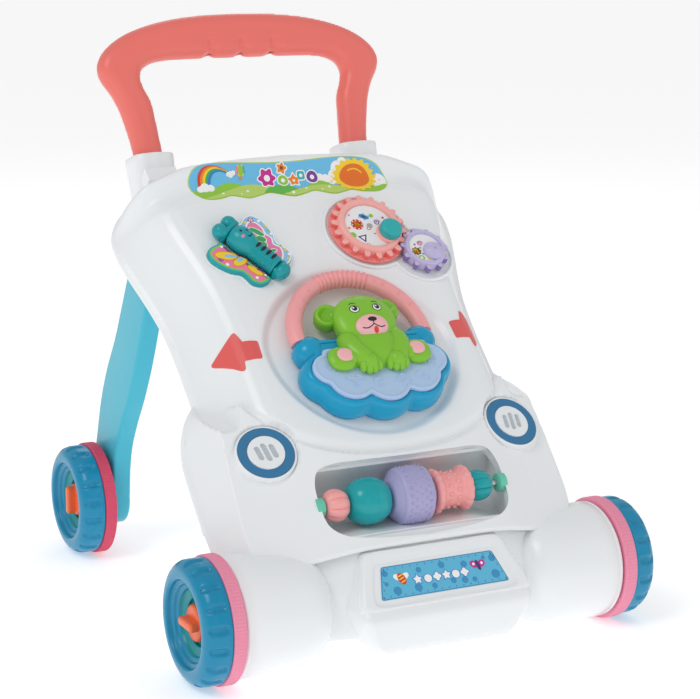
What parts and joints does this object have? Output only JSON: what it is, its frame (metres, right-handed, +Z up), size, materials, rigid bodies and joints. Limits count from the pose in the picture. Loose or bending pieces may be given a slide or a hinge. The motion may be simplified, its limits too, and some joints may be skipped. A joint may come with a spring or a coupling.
{
  "type": "baby walker",
  "caption": "Push-along baby walker: sloping play panel with gears, rolling beads and a lift-off bear toy, on four wheels with a looped handle.",
  "frame": {"origin": "on the floor, in the middle of the walker", "axes": "+Z up; -Y is the front of the walker, +Y is where the child walks; +X is to the right seen from the front"},
  "size_m": [0.37, 0.4388, 0.4541],
  "materials": {
    "white_shell": "satin moulded",
    "coral_handle": "satin moulded",
    "teal_leg": "satin moulded",
    "blue_wheel": "satin moulded",
    "front_tread": "soft",
    "rear_tread": "soft",
    "orange_knob": "satin moulded",
    "steel": "plain",
    "label_blue": "printed film",
    "plate_blue": "printed film",
    "mint": "satin moulded",
    "lamp_ring": "printed film",
    "arrow_coral": "printed film",
    "grey_tray": "moulded",
    "gear_pink": "satin moulded",
    "gear_lavender": "satin moulded",
    "butterfly_teal": "gloss moulded",
    "knob_teal": "satin moulded",
    "bead_pink": "gloss moulded",
    "bead_teal": "gloss moulded",
    "bead_lavender": "satin moulded",
    "cloud_blue": "gloss moulded",
    "cloud_plate": "satin moulded",
    "bear_green": "gloss moulded",
    "bear_pink": "satin moulded",
    "ring_pink": "satin moulded",
    "battery": "plain",
    "speaker": "plain",
    "board": "plain"
  },
  "bodies": {
    "walker": {"front_shell": "white_shell", "back_cover": "white_shell", "left_wheel_housing": "white_shell", "right_wheel_housing": "white_shell", "plate_box": "white_shell", "plate_label": "plate_blue", "top_label": "label_blue", "bead_tray": "white_shell", "bead_bar": "steel", "bead_collars": "mint", "left_headlight": "white_shell", "right_headlight": "white_shell", "left_headlight_ring": "lamp_ring", "right_headlight_ring": "lamp_ring", "left_arrow": "arrow_coral", "right_arrow": "arrow_coral", "gear_tray": "grey_tray", "gear_pins": "steel", "handle": "coral_handle", "left_leg": "teal_leg", "right_leg": "teal_leg", "front_axle": "steel", "rear_axles": "steel", "axle_washers": "steel", "shell_screws": "steel", "leg_screws": "steel", "butterfly_base": "butterfly_teal"},
    "front_left_wheel": {"front_left_wheel": "blue_wheel", "front_left_tread": "front_tread"},
    "front_left_knob": {"front_left_knob": "orange_knob"},
    "front_right_wheel": {"front_right_wheel": "blue_wheel", "front_right_tread": "front_tread"},
    "front_right_knob": {"front_right_knob": "orange_knob"},
    "rear_left_wheel": {"rear_left_wheel": "blue_wheel", "rear_left_tread": "rear_tread"},
    "rear_left_knob": {"rear_left_knob": "orange_knob"},
    "rear_right_wheel": {"rear_right_wheel": "blue_wheel", "rear_right_tread": "rear_tread"},
    "rear_right_knob": {"rear_right_knob": "orange_knob"},
    "butterfly_roller": {"butterfly_roller": "butterfly_teal"},
    "big_gear": {"big_gear": "gear_pink"},
    "big_gear_knob": {"big_gear_knob": "knob_teal"},
    "small_gear": {"small_gear": "gear_lavender"},
    "pink_pumpkin_bead": {"pink_pumpkin_bead": "bead_pink"},
    "teal_ball_bead": {"teal_ball_bead": "bead_teal"},
    "barrel_bead": {"barrel_bead": "bead_lavender"},
    "spool_bead": {"spool_bead": "bead_pink"},
    "teal_pumpkin_bead": {"teal_pumpkin_bead": "bead_teal"},
    "bear_toy": {"cloud_base": "cloud_blue", "cloud_plate": "cloud_plate", "bear": "bear_green", "bear_muzzle": "bear_pink", "ring_handle": "ring_pink", "toy_back": "cloud_blue", "battery_door": "cloud_blue", "toy_batteries": "battery", "toy_speaker": "speaker", "toy_board": "board"},
    "left_foot_button": {"left_foot_button": "bear_pink"},
    "right_foot_button": {"right_foot_button": "bear_pink"}
  },
  "joints": [
    {"name": "front_left_wheel_spin", "type": "hinge", "parent": "walker", "child": "front_left_wheel", "pos_m": [0, -0.1634, 0.0468], "axis": [1, 0, 0], "continuous": true},
    {"name": "front_left_knob_turn", "type": "hinge", "parent": "front_left_wheel", "child": "front_left_knob", "pos_m": [0, -0.1634, 0.0468], "axis": [1, 0, 0], "range_deg": [0, 90]},
    {"name": "front_right_wheel_spin", "type": "hinge", "parent": "walker", "child": "front_right_wheel", "pos_m": [0, -0.1634, 0.0468], "axis": [1, 0, 0], "continuous": true},
    {"name": "front_right_knob_turn", "type": "hinge", "parent": "front_right_wheel", "child": "front_right_knob", "pos_m": [0, -0.1634, 0.0468], "axis": [1, 0, 0], "range_deg": [0, 90]},
    {"name": "rear_left_wheel_spin", "type": "hinge", "parent": "walker", "child": "rear_left_wheel", "pos_m": [0, 0.1726, 0.0468], "axis": [1, 0, 0], "continuous": true},
    {"name": "rear_left_knob_turn", "type": "hinge", "parent": "rear_left_wheel", "child": "rear_left_knob", "pos_m": [0, 0.1726, 0.0468], "axis": [1, 0, 0], "range_deg": [0, 90]},
    {"name": "rear_right_wheel_spin", "type": "hinge", "parent": "walker", "child": "rear_right_wheel", "pos_m": [0, 0.1726, 0.0468], "axis": [1, 0, 0], "continuous": true},
    {"name": "rear_right_knob_turn", "type": "hinge", "parent": "rear_right_wheel", "child": "rear_right_knob", "pos_m": [0, 0.1726, 0.0468], "axis": [1, 0, 0], "range_deg": [0, 90]},
    {"name": "butterfly_roll", "type": "hinge", "parent": "walker", "child": "butterfly_roller", "pos_m": [-0.06, -0.01339, 0.28089], "axis": [-0.5835, 0.5881, 0.56], "continuous": true},
    {"name": "big_gear_spin", "type": "hinge", "parent": "walker", "child": "big_gear", "pos_m": [0.044, 0.00121, 0.28513], "axis": [0, -0.6896, 0.7242], "continuous": true},
    {"name": "big_gear_knob_spin", "type": "hinge", "parent": "big_gear", "child": "big_gear_knob", "pos_m": [0.0574, -0.00531, 0.27893], "axis": [0, -0.6896, 0.7242], "continuous": true},
    {"name": "small_gear_spin", "type": "hinge", "parent": "walker", "child": "small_gear", "pos_m": [0.08357, -0.01769, 0.26714], "axis": [0, -0.6896, 0.7242], "continuous": true},
    {"name": "pink_pumpkin_bead_spin", "type": "hinge", "parent": "walker", "child": "pink_pumpkin_bead", "pos_m": [0, -0.1561, 0.1153], "axis": [1, 0, 0], "continuous": true},
    {"name": "teal_ball_bead_spin", "type": "hinge", "parent": "walker", "child": "teal_ball_bead", "pos_m": [0, -0.1561, 0.1153], "axis": [1, 0, 0], "continuous": true},
    {"name": "barrel_bead_spin", "type": "hinge", "parent": "walker", "child": "barrel_bead", "pos_m": [0, -0.1561, 0.1153], "axis": [1, 0, 0], "continuous": true},
    {"name": "spool_bead_spin", "type": "hinge", "parent": "walker", "child": "spool_bead", "pos_m": [0, -0.1561, 0.1153], "axis": [1, 0, 0], "continuous": true},
    {"name": "teal_pumpkin_bead_spin", "type": "hinge", "parent": "walker", "child": "teal_pumpkin_bead", "pos_m": [0, -0.1561, 0.1153], "axis": [1, 0, 0], "continuous": true},
    {"name": "bear_toy_lift_off", "type": "slide", "parent": "walker", "child": "bear_toy", "axis": [0, -0.6896, 0.7242], "range_m": [0, 0.06]},
    {"name": "left_foot_press", "type": "slide", "parent": "bear_toy", "child": "left_foot_button", "axis": [0, -0.6896, 0.7242], "range_m": [-0.0015, 0], "stiffness_N_per_m": 300},
    {"name": "right_foot_press", "type": "slide", "parent": "bear_toy", "child": "right_foot_button", "axis": [0, -0.6896, 0.7242], "range_m": [-0.0015, 0], "stiffness_N_per_m": 300}
  ],
  "couplings": [
    {"joint": "small_gear_spin", "follows": "big_gear_spin", "ratio": -1.6364}
  ]
}
